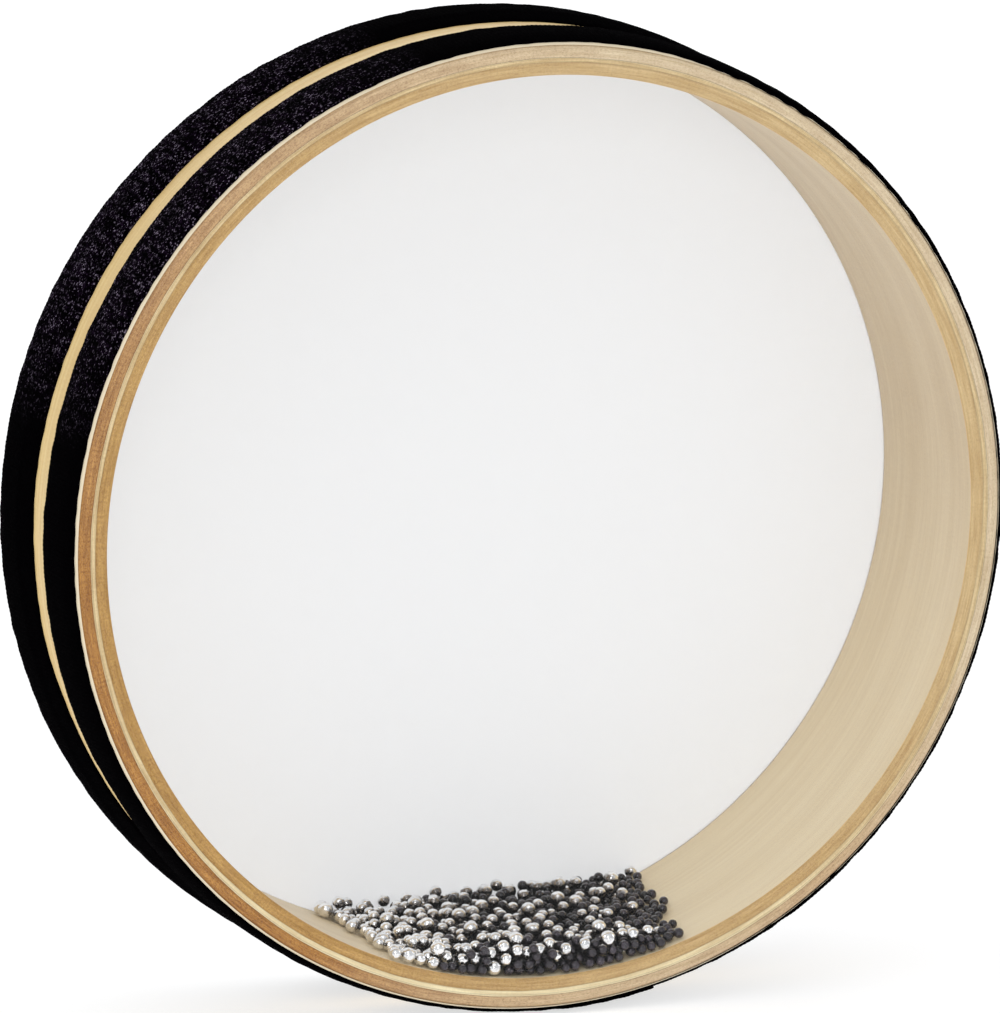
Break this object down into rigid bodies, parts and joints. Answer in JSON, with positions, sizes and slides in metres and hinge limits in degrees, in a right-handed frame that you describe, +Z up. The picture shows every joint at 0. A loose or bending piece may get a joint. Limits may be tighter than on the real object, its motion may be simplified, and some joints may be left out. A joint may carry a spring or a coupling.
{
  "type": "ocean drum",
  "caption": "Shallow round drum with a bent-ply shell, a clear and a white film head, black edge tapes and loose metal beads sealed inside.",
  "frame": {"origin": "centre of the drum: the middle of its depth, on its axis", "axes": "+Y along the drum's axis from the clear head to the white head, +Z up as the drum stands on its rim, +X to the right as seen facing the clear head"},
  "size_m": [0.2586, 0.064, 0.2586],
  "materials": {
    "wood_face": "pale veneer with a thin clear lacquer",
    "wood_cross": "tan veneer, sanded edge under a thin clear lacquer",
    "clear_film": "clear stretched polyester film",
    "white_film": "white coated polyester film, satin",
    "glue": "clear set glue",
    "woven_tape": "black ribbed woven tape",
    "bright_bead": "smooth rolled steel",
    "dark_bead": "dark blued gloss"
  },
  "bodies": {
    "drum": {"shell_outer_ply": "wood_face", "shell_outer_cross_ply": "wood_cross", "shell_core_ply": "wood_face", "shell_inner_cross_ply": "wood_cross", "shell_inner_ply": "wood_face", "front_head_glue": "glue", "back_head_glue": "glue", "front_head_film": "clear_film", "back_head_film": "white_film", "front_tape": "woven_tape", "back_tape": "woven_tape"},
    "bead_load": {"large_bright_beads": "bright_bead", "small_bright_beads": "bright_bead", "large_dark_beads": "dark_bead", "small_dark_beads": "dark_bead"}
  },
  "joints": [
    {"name": "bead_roll", "type": "hinge", "parent": "drum", "child": "bead_load", "pos_m": [0, 0, 0], "axis": [0, 1, 0], "continuous": true}
  ]
}
